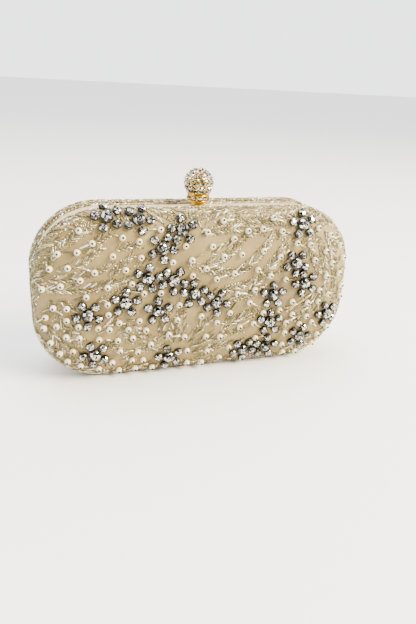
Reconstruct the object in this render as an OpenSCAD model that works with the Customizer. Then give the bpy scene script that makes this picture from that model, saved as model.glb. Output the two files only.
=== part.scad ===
// Hard-case evening bag: two domed, fabric-covered halves in a metal frame, hinged along the
// bottom edge and held shut by a ball clasp on top.
// X runs along the bag, the front faces -Y, Z is up, and the origin is under the middle.

/* [Case] */
// Width of the metal frame's outline
frame_w = 182; // [174:1:196]
// Height of the metal frame's outline
frame_h = 92; // [88:1:100]
// Corner radius of the outline
corner_r = 36; // [32:1:40]
// Depth of one half, from the parting plane to its flat face
half_depth = 20.8; // [20:0.1:25]
// In-plane length over which the face rounds over to the edge
edge_r = 24; // [20:1:28]
// How far the padded cover stands out past the frame's outline
bulge = 1.7; // [1.6:0.1:2.0]

/* [Layers] */
// Thickness of the fabric cover
cover_t = 0.8; // [0.6:0.1:1]
// Thickness of the foam padding
padding_t = 1.5; // [1:0.1:1.5]
// Thickness of the moulded shell
shell_t = 1.6; // [1.2:0.1:1.6]
// Thickness of the lining
lining_t = 0.7; // [0.5:0.1:1]

/* [Frame and hinge] */
// Width of one half's frame band
band_w = 5.85; // [5.5:0.05:6]
// Thickness of the frame's metal
metal_t = 1; // [0.8:0.1:1]
// Gap between the two frames
parting_gap = 0.3; // [0.2:0.05:0.4]
// Distance of each hinge from the middle
hinge_x = 44; // [36:1:48]
// Length of one hinge
hinge_len = 26; // [20:1:30]
// Radius of the hinge pin
hinge_pin_r = 0.6; // [0.5:0.05:0.65]

/* [Clasp] */
// Diameter of the ball
ball_d = 15.8; // [14:0.2:17]
// Diameter of the collar's lower rim
collar_d = 13.2; // [11.6:0.2:14]
// Height of the collar
collar_h = 3.9; // [3.5:0.1:5]
// Radius of the stem under the ball
stem_r = 1.5; // [1.2:0.1:1.6]

/* [Trim] */
// Radius of a sewn pearl
pearl_r = 1.7; // [1.5:0.1:2]
// Spacing of the pearls
pearl_pitch = 13; // [12:1:18]

/* [Hidden] */
$fn = 48;
cut = 100;
foot_flat = 0.25;
half_gap = parting_gap / 2;
frame_base_z = bulge - foot_flat;
frame_mid_z = frame_base_z + frame_h / 2;
frame_top_z = frame_base_z + frame_h;
corner_x = frame_w / 2 - corner_r;
corner_z = frame_h / 2 - corner_r;

// The layers' edges sit in the frame's channel, then puff out and round over to the face.
play = 0.05;
channel_w = 4;
frame_t = channel_w + 2 * metal_t;
lip_d = half_gap + metal_t + play;
mouth_d = half_gap + band_w + 0.1;
tuck = -metal_t - play;
puff_d = 5;
knee_d = mouth_d + puff_d;

// Hinge, under the frame in the valley between the two covers
knuckle_r = hinge_pin_r + 0.55;
hinge_z = frame_base_z - 0.1;
leaf_t = 0.6;
leaf_z = frame_base_z - leaf_t;
leaf_reach = 5.8;
leaf_edge = knuckle_r + 0.25;
knuckle_gap = 0.2;
knuckle_len = hinge_len / 3;
rivet_r = 0.8;
rivet_head_r = 1.5;
rivet_head_t = 0.35;
hinge_rivet_dx = 8;
hinge_rivet_y = 3.8;

// Clasp: the lever turns on a pin behind the parting plane, under the back frame
wall_z = frame_top_z - frame_t;
pivot_y = 3.2;
pivot_z = wall_z - 2.25;
latch_pin_r = 0.8;
hub_r = 1.6;
arm_w = 3;
arm_t = 1.5;
arm_tip_y = -7.2;
nose_len = 2;
nose_drop = 2.3;
boss_w = 3.8;
boss_h = 3;
ear_x = 3.4;
ear_t = 1;
plate_t = 0.8;
latch_plate_x = 9.5;
latch_rivet_x = 7.2;
latch_rivet_y = 3.1;
catch_t = 0.4;
catch_w = 8;
catch_rivet_y = 4.5;
catch_front_y = 9.6;
catch_z = pivot_z - 4.8;
catch_lip_h = 1.7;
notch_w = 6.8;
front_notch_d = 2.2;
back_notch_d = 3.4;
strike_w = 13;
strike_t = 0.5;

ball_r = ball_d / 2;
collar_r = collar_d / 2;
collar_z = frame_top_z + 2.9;
collar_top_z = collar_z + collar_h;
collar_rim_t = 0.9;
neck_r = 4.2;
neck_h = 1.8;
collar_body_r = collar_r - 0.6;
collar_stone_r = 0.95;
collar_stones_n = 14;
collar_stone_h = 0.7;
// The ball is cut flat where it stands on the collar
ball_sink = 1.8;
ball_z = collar_top_z + ball_r - ball_sink;
ball_stem_in = 1.2;
cup_r = collar_r;
cup_h = 1.3;
pave_r = 0.9;
pave_sink = 0.3;
pave_rows = 8;

// Trim
trim_sink = 0.3;
petal_r = 1.95;
petal_ring_r = 5.9;
eye_r = 2.9;
setting_h = 2.2;
stone_h = 1.2;
eye_stone_h = 1.5;
pave_h = 0.7;
// Flowers on the front, [x, z, turn from +X], chosen by hand so neighbours' petals interlock
flower_at = [
    [-53, 92, 31], [-37, 90.5, 66], [-14, 85, 24], [-25, 76, 60], [-33, 60, 6], [-19, 58, 54],
    [-7, 49.5, 24], [6.5, 43.5, 60], [-45, 47, 12], [-27, 41, 18], [-65, 41, 48],
    [-62, 17, 42], [-20, 11, 30], [57, 86, 24], [54, 64, 54], [61, 51.5, 36], [41, 45.5, 18],
    [40.5, 28.5, 18], [40, 12, 12], [25.5, 11, 60], [62, 17, 0], [79, 30, 36]
];

// Pocket on the back lining
pocket_w = 96;
pocket_h = 42;
pocket_z = 25;
pocket_t = 0.6;
pocket_gap = 1;
pocket_hem = 2;

// ---- Helpers: a profile of [radius, depth] points swept round the rounded rectangle ----

function reversed(list) = [for (i = [len(list) - 1:-1:0]) list[i]];

// Path of the surface that lies t inside the cover's outer face, from the frame to the middle
function skin_path(t) = concat(
    [[corner_r + tuck - t, lip_d]],
    [for (a = [0:30:60])
        [corner_r + tuck - t + (bulge - tuck) * sin(a), mouth_d + puff_d * (1 - cos(a))]],
    [for (a = [0:15:90])
        [corner_r + bulge - edge_r + (edge_r - t) * cos(a),
         knee_d + (half_depth - knee_d - t) * sin(a)]],
    [[0, half_depth - t]]
);

// Lays the local plane upright: local z becomes depth, towards the front
module upright() {
    translate([0, 0, frame_mid_z]) rotate([90, 0, 0]) children();
}

module corner_sweep(profile) {
    for (quarter = [0:3]) {
        sx = quarter == 0 || quarter == 3 ? 1 : -1;
        sy = quarter < 2 ? 1 : -1;
        translate([sx * corner_x, sy * corner_z, 0])
            rotate([0, 0, 90 * quarter])
            rotate_extrude(angle = 90) polygon(profile);
    }
}

module side_sweep(profile) {
    for (side = [0:3]) {
        along = side % 2 == 0 ? 2 * corner_x : 2 * corner_z;
        out = side % 2 == 0 ? corner_z : corner_x;
        rotate([0, 0, 90 * side]) translate([-along / 2, out, 0])
            rotate([90, 0, 90]) linear_extrude(along) polygon(profile);
    }
}

module ring_body(profile) {
    upright() {
        corner_sweep(profile);
        side_sweep(profile);
    }
}

// A layer of the dome, between t0 and t1 inside the cover's outer face
module dome_layer(t0, t1) {
    profile = concat(skin_path(t0), reversed(skin_path(t1)));
    ring_body(profile);
    upright() translate([-corner_x, -corner_z, half_depth - t1])
        cube([2 * corner_x, 2 * corner_z, t1 - t0]);
}

module mirrored_back() {
    mirror([0, 1, 0]) children();
}

module rod_x(r, x0, x1, y, z) {
    translate([x0, y, z]) rotate([0, 90, 0]) cylinder(r = r, h = x1 - x0);
}

module block(x, y, z) {
    translate([x[0], y[0], z[0]]) cube([x[1] - x[0], y[1] - y[0], z[1] - z[0]]);
}

// ---- Frame: a U-section band, open away from the parting plane ----

// Room for the clasp's stem and lever at the middle of the top edge
module stem_notch(notch_d) {
    block([-notch_w / 2, notch_w / 2], [-notch_d, 0], [wall_z - 1, frame_top_z + 1]);
}

module frame_half(notch_d) {
    back_d = half_gap + band_w;
    web_d = half_gap + metal_t;
    outer = corner_r;
    inner = corner_r - frame_t;
    profile = [
        [inner, half_gap], [outer, half_gap], [outer, back_d], [outer - metal_t, back_d],
        [outer - metal_t, web_d], [inner + metal_t, web_d], [inner + metal_t, back_d],
        [inner, back_d]
    ];
    knuckle_room = knuckle_r + 0.35;
    difference() {
        ring_body(profile);
        for (side = [-1, 1]) {
            x = side * hinge_x;
            block([x - hinge_len / 2 - 0.3, x + hinge_len / 2 + 0.3],
                [-knuckle_room, 0], [0, hinge_z + knuckle_room]);
            for (dx = [-hinge_rivet_dx, hinge_rivet_dx])
                translate([x + dx, -hinge_rivet_y, 0])
                    cylinder(r = rivet_r, h = frame_base_z + 2 * metal_t);
        }
        stem_notch(notch_d);
    }
}

module front_frame() {
    color("#D9C08A") difference() {
        frame_half(front_notch_d);
        for (side = [-1, 1])
            translate([side * latch_rivet_x, -catch_rivet_y, wall_z - 1])
                cylinder(r = rivet_r, h = metal_t + 1.5);
    }
}

module back_frame() {
    color("#D9C08A") difference() {
        mirrored_back() frame_half(back_notch_d);
        for (side = [-1, 1])
            translate([side * latch_rivet_x, latch_rivet_y, wall_z - 1])
                cylinder(r = rivet_r, h = metal_t + 1.5);
    }
}

// ---- Shell, padding, cover and lining of one half ----

module cover_half(notch_d) {
    difference() {
        dome_layer(0, cover_t);
        block([-cut, cut], [-cut, cut], [-cut, 0]);
        stem_notch(notch_d);
    }
}

module padding_half(notch_d) {
    difference() {
        dome_layer(cover_t, cover_t + padding_t);
        stem_notch(notch_d);
    }
}

module shell_half(notch_d) {
    difference() {
        dome_layer(cover_t + padding_t, cover_t + padding_t + shell_t);
        stem_notch(notch_d);
    }
}

module lining_half() {
    t0 = frame_t - metal_t;
    latch_room = [13, 11.5, 4];
    difference() {
        dome_layer(t0, t0 + lining_t);
        block([-latch_room[0], latch_room[0]], [-latch_room[1], 0],
            [wall_z - latch_room[2], frame_top_z]);
    }
}

module front_cover() {
    color("#D2B98E") cover_half(front_notch_d);
}

module back_cover() {
    color("#D2B98E") mirrored_back() cover_half(back_notch_d);
}

module front_padding() {
    color("#F2EFE6") padding_half(front_notch_d);
}

module back_padding() {
    color("#F2EFE6") mirrored_back() padding_half(back_notch_d);
}

module front_shell() {
    color("#E8E4DA") shell_half(front_notch_d);
}

module back_shell() {
    color("#E8E4DA") mirrored_back() shell_half(back_notch_d);
}

module front_lining() {
    color("#CDB992") lining_half();
}

module back_lining() {
    color("#CDB992") mirrored_back() lining_half();
}

// Flat pocket whose hem is sewn to the back lining on three sides
module inner_pocket() {
    lining_y = half_depth - frame_t + metal_t - lining_t;
    half_w = pocket_w / 2;
    color("#C4AE86") difference() {
        block([-half_w, half_w], [lining_y - pocket_gap - pocket_t, lining_y],
            [pocket_z, pocket_z + pocket_h]);
        block([-half_w + pocket_hem, half_w - pocket_hem],
            [lining_y - pocket_gap, lining_y + 1],
            [pocket_z + pocket_hem, pocket_z + pocket_h + 1]);
    }
}

// ---- Hinges: knuckles 0 and 2 are the front leaf's, knuckle 1 is the back leaf's ----

module leaf_knuckles(which, bore_r) {
    x0 = -hinge_len / 2;
    difference() {
        union() {
            block([x0, -x0], [-leaf_reach, -leaf_edge], [leaf_z, frame_base_z]);
            for (k = which) {
                span = [x0 + k * knuckle_len + knuckle_gap / 2,
                        x0 + (k + 1) * knuckle_len - knuckle_gap / 2];
                block(span, [-leaf_edge, 0], [leaf_z, frame_base_z]);
                rod_x(knuckle_r, span[0], span[1], 0, hinge_z);
            }
        }
        rod_x(bore_r, x0 - 1, 1 - x0, 0, hinge_z);
        for (dx = [-hinge_rivet_dx, hinge_rivet_dx])
            translate([dx, -hinge_rivet_y, leaf_z - 1]) cylinder(r = rivet_r, h = leaf_t + 2);
    }
}

module hinge_leaf_front(side) {
    color("#C9AE74") translate([side * hinge_x, 0, 0])
        leaf_knuckles([0, 2], hinge_pin_r + play);
}

module hinge_leaf_back(side) {
    color("#C9AE74") translate([side * hinge_x, 0, 0])
        mirrored_back() leaf_knuckles([1], hinge_pin_r);
}

module hinge_leaf_front_left() {
    hinge_leaf_front(-1);
}

module hinge_leaf_front_right() {
    hinge_leaf_front(1);
}

module hinge_leaf_back_left() {
    hinge_leaf_back(-1);
}

module hinge_leaf_back_right() {
    hinge_leaf_back(1);
}

module hinge_pin(side) {
    reach = hinge_len / 2;
    color("#B8B8B8")
        rod_x(hinge_pin_r, side * hinge_x - reach, side * hinge_x + reach, 0, hinge_z);
}

module hinge_pin_left() {
    hinge_pin(-1);
}

module hinge_pin_right() {
    hinge_pin(1);
}

module rivet(length) {
    translate([0, 0, -rivet_head_t]) cylinder(r = rivet_head_r, h = rivet_head_t);
    cylinder(r = rivet_r, h = length);
}

module hinge_rivets_front() {
    color("#B99C60") for (side = [-1, 1], dx = [-hinge_rivet_dx, hinge_rivet_dx])
        translate([side * hinge_x + dx, -hinge_rivet_y, leaf_z]) rivet(leaf_t + metal_t);
}

module hinge_rivets_back() {
    color("#B99C60") for (side = [-1, 1], dx = [-hinge_rivet_dx, hinge_rivet_dx])
        translate([side * hinge_x + dx, hinge_rivet_y, leaf_z]) rivet(leaf_t + metal_t);
}

// ---- Latch: bracket, pin and spring under the back frame, catch under the front frame ----

module latch_bracket() {
    ear_end = ear_x + ear_t;
    ear_y = [1.2, 6];
    wing_y = [0.6, 5.6];
    web_y = [5.2, 6];
    foot_z = pivot_z - 1.8;
    color("#C0C0C0") difference() {
        union() {
            for (side = [-1, 1]) {
                ear = side > 0 ? [ear_x, ear_end] : [-ear_end, -ear_x];
                wing = side > 0 ? [ear_x, latch_plate_x] : [-latch_plate_x, -ear_x];
                block(ear, ear_y, [foot_z, wall_z]);
                block(wing, wing_y, [wall_z - plate_t, wall_z]);
            }
            block([-ear_end, ear_end], web_y, [foot_z, wall_z]);
        }
        rod_x(latch_pin_r, -latch_plate_x, latch_plate_x, pivot_y, pivot_z);
        for (side = [-1, 1])
            translate([side * latch_rivet_x, latch_rivet_y, wall_z - 2])
                cylinder(r = rivet_r, h = 3);
    }
}

module latch_pin() {
    reach = ear_x + ear_t + 0.2;
    color("#A8A8A8") rod_x(latch_pin_r, -reach, reach, pivot_y, pivot_z);
}

module latch_rivets() {
    color("#B8B8B8") for (side = [-1, 1])
        translate([side * latch_rivet_x, latch_rivet_y, wall_z - plate_t])
            rivet(plate_t + metal_t);
}

// Torsion spring round the pin, with one leg up to the frame and one over the lever's arm
module latch_spring() {
    wire_r = 0.25;
    coil_x = [2.3, 3.2];
    leg_x = 2.75;
    coil_r = 1.5;
    arm_leg_y = pivot_y - 1;
    arm_leg_len = 6.5;
    arm_end_x = 0.8;
    arm_leg_z = pivot_z + wire_r + play;
    color("#9A9AA0") {
        difference() {
            rod_x(coil_r, coil_x[0], coil_x[1], pivot_y, pivot_z);
            rod_x(latch_pin_r + 0.15, coil_x[0] - 1, coil_x[1] + 1, pivot_y, pivot_z);
        }
        translate([leg_x, pivot_y + coil_r - wire_r, pivot_z])
            cylinder(r = wire_r, h = wall_z - pivot_z - play);
        translate([leg_x, arm_leg_y, arm_leg_z]) rotate([90, 0, 0])
            cylinder(r = wire_r, h = arm_leg_len);
        rod_x(wire_r, arm_end_x, leg_x, arm_leg_y - arm_leg_len + wire_r, arm_leg_z);
    }
}

module catch_leaf() {
    half_w = catch_w / 2;
    plate_z = [wall_z - catch_t, wall_z];
    front = [-catch_front_y, -catch_front_y + catch_t];
    lip_y = -4.8;
    plate_y = [-5.8, -3.2];
    color("#A9ABB0") difference() {
        union() {
            block([-latch_plate_x, latch_plate_x], plate_y, plate_z);
            block([-half_w, half_w], [-catch_front_y, plate_y[0]], plate_z);
            block([-half_w, half_w], front, [catch_z, wall_z]);
            block([-half_w, half_w], [-catch_front_y, lip_y + catch_t],
                [catch_z, catch_z + catch_t]);
            block([-half_w, half_w], [lip_y, lip_y + catch_t],
                [catch_z, catch_z + catch_lip_h]);
        }
        for (side = [-1, 1])
            translate([side * latch_rivet_x, -catch_rivet_y, wall_z - 2])
                cylinder(r = rivet_r, h = 3);
    }
}

module catch_rivets() {
    color("#B8B8B8") for (side = [-1, 1])
        translate([side * latch_rivet_x, -catch_rivet_y, wall_z - catch_t])
            rivet(catch_t + metal_t);
}

// Plate on the front frame's top, cut out for the stem
module strike_plate() {
    half_w = strike_w / 2;
    color("#E0B04A") difference() {
        block([-half_w, half_w], [-mouth_d - 0.15, -half_gap],
            [frame_top_z, frame_top_z + strike_t]);
        block([-notch_w / 2, notch_w / 2], [-front_notch_d, 1],
            [frame_top_z - 1, frame_top_z + 1]);
    }
}

// ---- Clasp: lever, stem, collar, cup and ball turn together on the latch pin ----

module clasp_lever() {
    half_arm = arm_w / 2;
    half_boss = boss_w / 2;
    floor_z = pivot_z - arm_t;
    color("#B5B7BB") difference() {
        union() {
            rod_x(hub_r, -3.1, 2.1, pivot_y, pivot_z);
            block([-half_boss, half_boss], [-2, pivot_y], [floor_z, floor_z + boss_h]);
            block([-half_arm, half_arm], [arm_tip_y, 0], [floor_z, pivot_z]);
            block([-half_arm, half_arm], [arm_tip_y, arm_tip_y + nose_len],
                [floor_z - nose_drop, pivot_z]);
        }
        rod_x(latch_pin_r + play, -5, 5, pivot_y, pivot_z);
        translate([0, 0, floor_z + 0.4]) cylinder(r = stem_r, h = boss_h);
    }
}

module clasp_stem() {
    foot_z = pivot_z - arm_t + 0.4;
    color("#CDA24A") translate([0, 0, foot_z])
        cylinder(r = stem_r, h = collar_top_z + ball_stem_in - foot_z);
}

module clasp_collar() {
    bevel = 0.4;
    rim_z = collar_h - collar_rim_t;
    color("#E8B23C") translate([0, 0, collar_z]) rotate_extrude() polygon([
        [stem_r, -neck_h], [neck_r, -neck_h], [neck_r, 0], [collar_r - bevel, 0],
        [collar_r, bevel], [collar_r, collar_rim_t],
        [collar_body_r, collar_rim_t], [collar_body_r, rim_z], [collar_r - 0.2, rim_z],
        [collar_r - 0.2, collar_h], [stem_r, collar_h]
    ]);
}

module collar_stones() {
    color("#F4F6FA") for (i = [0:collar_stones_n - 1])
        rotate([0, 0, 360 * i / collar_stones_n])
            translate([collar_body_r - 0.2, 0, collar_z + collar_h / 2])
            rotate([0, 90, 0]) cylinder(r = collar_stone_r, h = collar_stone_h);
}

module clasp_cup() {
    color("#E8B23C") difference() {
        translate([0, 0, collar_top_z]) cylinder(r = cup_r, h = cup_h);
        translate([0, 0, ball_z]) sphere(r = ball_r + 0.02);
    }
}

module clasp_ball() {
    color("#D8BC7E") difference() {
        translate([0, 0, ball_z]) sphere(r = ball_r);
        cylinder(r = ball_d, h = collar_top_z + 0.03);
        cylinder(r = stem_r, h = collar_top_z + ball_stem_in);
    }
}

// Clear stones paved over the ball in rings, above the cup
module ball_stones() {
    lowest = -28;
    step = (90 - lowest) / pave_rows;
    color("#F4F6FA") for (row = [0:pave_rows]) {
        tilt = lowest + row * step;
        count = max(1, floor(360 * cos(tilt) * ball_r / (57.3 * 2.35 * pave_r)));
        for (i = [0:count - 1])
            translate([0, 0, ball_z]) rotate([0, 90 - tilt, 360 * (i + row % 2 / 2) / count])
                translate([0, 0, ball_r - pave_sink]) cylinder(r = pave_r, h = pave_h);
    }
}

// ---- Trim: pearls and flowers on the covers' outer face ----

// Place on the front face: frame-relative [x, h] gives the point and the outward direction
function side_out(x, h) = [max(abs(x) - corner_x, 0), max(abs(h) - corner_z, 0)];
function outset(x, h) = norm(side_out(x, h))
    + min(max(abs(x) - corner_x, abs(h) - corner_z), 0) - corner_r;
function face_cos(x, h) = max(0, (outset(x, h) - bulge + edge_r) / edge_r);
function face_depth(x, h) =
    knee_d + (half_depth - knee_d) * sqrt(1 - pow(face_cos(x, h), 2));
function rim_dir(x, h) = let (q = side_out(x, h), n = norm(q))
    n == 0 ? [0, 0] : [sign(x) * q[0] / n, sign(h) * q[1] / n];
function face_normal(x, h) = let (
    c = face_cos(x, h),
    d = rim_dir(x, h),
    n_out = c / edge_r,
    n_deep = sqrt(1 - c * c) / (half_depth - knee_d),
    n = norm([n_out, n_deep]))
    [d[0] * n_out / n, -n_deep / n, d[1] * n_out / n];

// Puts children on the front face at [x, z], their own z along the outward direction
module on_front(x, z, lift) {
    h = z - frame_mid_z;
    n = face_normal(x, h);
    translate([x, -face_depth(x, h), z] + lift * n)
        rotate([0, acos(n[2]), atan2(n[1], n[0])]) children();
}

function clear_of_flowers(x, z) =
    min([for (f = flower_at) norm([x - f[0], z - f[1]])]) > petal_ring_r + petal_r + pearl_r;

pearl_rows = floor(frame_h / (pearl_pitch * 0.866));
pearl_cols = floor(frame_w / pearl_pitch);
pearl_rim = 6;
pearl_at = [
    for (j = [0:pearl_rows], i = [0:pearl_cols])
        let (x = (i - pearl_cols / 2 + (j % 2 - 0.5) / 2) * pearl_pitch,
             h = (j - pearl_rows / 2) * pearl_pitch * 0.866)
        if (outset(x, h) < -pearl_rim) [x, frame_mid_z + h]
];

module pearl(p) {
    on_front(p[0], p[1], pearl_r - trim_sink) sphere(r = pearl_r);
}

module front_pearls() {
    color("#F6F1E7") for (p = pearl_at)
        if (clear_of_flowers(p[0], p[1])) pearl(p);
}

module back_pearls() {
    color("#F6F1E7") mirrored_back() for (p = pearl_at) pearl(p);
}

module flower_settings() {
    color("#4A4A50") for (f = flower_at)
        on_front(f[0], f[1], -trim_sink) rotate([0, 0, f[2] + 90]) {
            cylinder(r = eye_r + 1, h = setting_h);
            for (k = [0:4]) rotate([0, 0, 72 * k])
                translate([petal_ring_r, 0, 0]) cylinder(r = petal_r + 0.2, h = setting_h);
        }
}

module flower_stones() {
    color("#EEF1F6") for (f = flower_at)
        on_front(f[0], f[1], setting_h - trim_sink) rotate([0, 0, f[2] + 90]) {
            cylinder(r = eye_r, h = eye_stone_h);
            for (k = [0:4]) rotate([0, 0, 72 * k])
                translate([petal_ring_r, 0, 0]) cylinder(r = petal_r, h = stone_h);
        }
}

back_frame();
back_shell();
back_padding();
back_cover();
back_lining();
inner_pocket();
back_pearls();
hinge_leaf_back_left();
hinge_leaf_back_right();
hinge_pin_left();
hinge_pin_right();
hinge_rivets_back();
latch_bracket();
latch_pin();
latch_spring();
latch_rivets();
front_frame();
front_shell();
front_padding();
front_cover();
front_lining();
front_pearls();
flower_settings();
flower_stones();
hinge_leaf_front_left();
hinge_leaf_front_right();
hinge_rivets_front();
catch_leaf();
catch_rivets();
strike_plate();
clasp_lever();
clasp_stem();
clasp_collar();
collar_stones();
clasp_cup();
clasp_ball();
ball_stones();
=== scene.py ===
import math
import random
from collections import namedtuple

import bmesh
import bpy
from mathutils import Matrix, Vector, kdtree, noise
from mathutils.bvhtree import BVHTree


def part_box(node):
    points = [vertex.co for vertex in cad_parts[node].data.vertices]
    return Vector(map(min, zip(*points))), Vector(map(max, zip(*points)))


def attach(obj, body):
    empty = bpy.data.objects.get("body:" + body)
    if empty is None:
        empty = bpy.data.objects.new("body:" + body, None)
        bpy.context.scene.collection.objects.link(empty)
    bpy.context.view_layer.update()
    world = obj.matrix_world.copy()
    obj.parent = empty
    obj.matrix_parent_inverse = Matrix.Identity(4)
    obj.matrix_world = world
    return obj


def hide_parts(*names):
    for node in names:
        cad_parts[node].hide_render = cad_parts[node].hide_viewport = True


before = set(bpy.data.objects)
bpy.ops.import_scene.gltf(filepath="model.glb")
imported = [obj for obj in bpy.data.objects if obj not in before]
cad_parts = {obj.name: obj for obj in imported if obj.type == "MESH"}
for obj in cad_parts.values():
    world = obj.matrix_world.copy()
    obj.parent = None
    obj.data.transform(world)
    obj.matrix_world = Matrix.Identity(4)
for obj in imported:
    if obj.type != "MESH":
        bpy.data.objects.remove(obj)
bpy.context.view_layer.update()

MM = 0.001
SIDES = {"front": -1, "back": 1}


# ---- Room: camera, floor and lights ----
# The bag stands on a white table in a light tent. It is seen from the front left and a little
# above its top edge, at about arm's length.

CAMERA_AT = Vector((-0.0907, -0.2939, 0.1572))
CAMERA_HEADING = math.radians(18.8)
CAMERA_TILT = math.radians(22.6)
CAMERA_ROLL = math.radians(3.0)
CAMERA_LENS_MM = 31.6


def hex_colour(code):
    """An sRGB hex colour as linear red, green, blue and alpha."""
    def channel(start):
        value = int(code[start:start + 2], 16) / 255
        return value / 12.92 if value <= 0.04045 else ((value + 0.055) / 1.055) ** 2.4
    return (channel(1), channel(3), channel(5), 1)


def set_sockets(tree, node, sockets):
    """Links each named input from a socket, or sets its value."""
    for name, value in sockets.items():
        if isinstance(value, bpy.types.NodeSocket):
            tree.links.new(value, node.inputs[name])
        else:
            node.inputs[name].default_value = value
    return node


def set_values(thing, **values):
    """Sets several of a thing's values."""
    for name, value in values.items():
        setattr(thing, name, value)
    return thing


def add_node(tree, kind, sockets=None, **settings):
    """Adds a node, with its settings and what goes into it."""
    node = set_values(tree.nodes.new(kind), **settings)
    return set_sockets(tree, node, sockets or {})


def new_material(name):
    """A material with its node tree and its shader."""
    material = bpy.data.materials.new(name)
    material.use_nodes = True
    tree = material.node_tree
    return material, tree, tree.nodes["Principled BSDF"]


def on_ramp(tree, factor, stops):
    """The colour at a factor between stops, each a position and an sRGB hex colour."""
    ramp = add_node(tree, "ShaderNodeValToRGB", {"Fac": factor})
    elements = ramp.color_ramp.elements
    while len(elements) < len(stops):
        elements.new(0.5)
    for element, (position, code) in zip(elements, stops):
        element.position = position
        element.color = hex_colour(code)
    return ramp.outputs["Color"]


def aim(forward, roll):
    """Turns an object's -Z along forward, with its right side raised by roll."""
    level = forward.cross(Vector((0, 0, 1))).normalized()
    above = level.cross(forward)
    right = math.cos(roll) * level + math.sin(roll) * above
    up = math.cos(roll) * above - math.sin(roll) * level
    return Matrix((right, up, -forward)).transposed().to_4x4()


camera = bpy.data.objects.new("camera", bpy.data.cameras.new("camera"))
set_values(camera.data, lens=CAMERA_LENS_MM, sensor_width=36, clip_start=10 * MM)
bpy.context.collection.objects.link(camera)
view_line = Vector((
    math.sin(CAMERA_HEADING) * math.cos(CAMERA_TILT),
    math.cos(CAMERA_HEADING) * math.cos(CAMERA_TILT),
    -math.sin(CAMERA_TILT),
))
camera.matrix_world = Matrix.Translation(CAMERA_AT) @ aim(view_line, CAMERA_ROLL)
bpy.context.scene.camera = camera

# White laminate: bright, with a faint broad sheen
laminate, tree, shader = new_material("white_laminate")
set_sockets(tree, shader, {"Base Color": hex_colour("#ECECEA"), "Roughness": 0.55})

bpy.ops.mesh.primitive_plane_add(size=60, location=(0, 0, 0))
floor = bpy.context.object
floor.name = "table_top"
floor.data.materials.append(laminate)


def add_softbox(name, location, aim_at, width, power, colour):
    """A square area light at location that faces aim_at."""
    light = bpy.data.objects.new(name, bpy.data.lights.new(name, "AREA"))
    set_values(light.data, size=width, energy=power, color=hex_colour(colour)[:3])
    line = (Vector(aim_at) - Vector(location)).normalized()
    light.matrix_world = Matrix.Translation(location) @ aim(line, 0)
    bpy.context.collection.objects.link(light)


add_softbox("softbox_right", (0.9, -0.7, 0.9), (0, 0, 0.05), 0.7, 90, "#FFF1D4")
add_softbox("softbox_top", (-0.1, 0.2, 1.4), (0, 0, 0), 1.0, 26, "#FFFFFF")
add_softbox("softbox_left", (-1.1, -0.7, 0.6), (0, 0, 0.05), 0.6, 3, "#E6EEFF")

# The tent is white all round but for its opening, where the room is darker
TENT_OPENING = (-0.27, -0.86, 0.43)
world = bpy.data.worlds.new("light_tent")
world.use_nodes = True
tent_tree = world.node_tree
heading_to = add_node(tent_tree, "ShaderNodeTexCoord")
to_opening = add_node(tent_tree, "ShaderNodeVectorMath", {
    0: heading_to.outputs["Generated"], 1: TENT_OPENING}, operation="DOT_PRODUCT")
tent_tone = on_ramp(tent_tree, to_opening.outputs["Value"], [(0.5, "#F8F9FC"), (0.8, "#35322E")])
set_sockets(tent_tree, tent_tree.nodes["Background"], {"Color": tent_tone, "Strength": 3.2})
bpy.context.scene.world = world


# ---- Metal frame ----
# Each half of the case has a U-shaped band of thin steel, roll formed round the outline and
# plated pale gold. Its channel holds the edges of the shell, the foam and the fabric.

def box_of(node):
    """The low and the high corner of a CAD node's box."""
    return [Vector(corner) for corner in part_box(node)]


frame_low, frame_high = box_of("front_frame")
HALF_W = frame_high.x
HALF_H = (frame_high.z - frame_low.z) / 2
MID_Z = (frame_high.z + frame_low.z) / 2
CORNER_R = 36 * MM
BAND_T = 1 * MM
CHANNEL_T = 6 * MM
BAND_ROLL = 0.35 * MM


def outline(arc_steps, side_steps):
    """Points round the frame's outer face, each with its outward direction, as [x, height]."""
    points = []
    centre = Vector((HALF_W - CORNER_R, HALF_H - CORNER_R))
    for quarter, (sx, sh) in enumerate(((1, 1), (-1, 1), (-1, -1), (1, -1))):
        middle = Vector((sx * centre.x, sh * centre.y))
        for step in range(arc_steps):
            angle = math.radians(90 * (quarter + step / arc_steps))
            out = Vector((math.cos(angle), math.sin(angle)))
            points.append((middle + CORNER_R * out, out))
        angle = math.radians(90 * (quarter + 1))
        out = Vector((round(math.cos(angle)), round(math.sin(angle))))
        along = Vector((-out.y, out.x))
        run = 2 * (centre.x if quarter % 2 == 0 else centre.y)
        for step in range(side_steps):
            points.append((middle + CORNER_R * out + along * run * step / side_steps, out))
    return points


def ring(points, grow, depth, side):
    """The outline grown outwards and set back from the parting plane."""
    return [Vector((p.x + out.x * grow, side * depth, MID_Z + p.y + out.y * grow))
            for p, out in points]


def new_piece(name, corners, faces, material, smooth=True):
    """A mesh object from its corners and faces, with the normals turned outwards."""
    mesh = bpy.data.meshes.new(name)
    mesh.from_pydata(corners, [], faces)
    shape = bmesh.new()
    shape.from_mesh(mesh)
    bmesh.ops.recalc_face_normals(shape, faces=shape.faces)
    shape.to_mesh(mesh)
    shape.free()
    if smooth:
        mesh.shade_smooth()
    else:
        mesh.shade_flat()
    mesh.materials.append(material)
    piece = bpy.data.objects.new(name, mesh)
    bpy.context.collection.objects.link(piece)
    return piece


def band_faces(rings, count, closed):
    """Four-sided faces between rings of count corners each."""
    faces = []
    for r in range(rings if closed else rings - 1):
        here, there = r * count, (r + 1) % rings * count
        for i in range(count):
            after = (i + 1) % count
            faces.append((here + i, here + after, there + after, there + i))
    return faces


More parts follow.
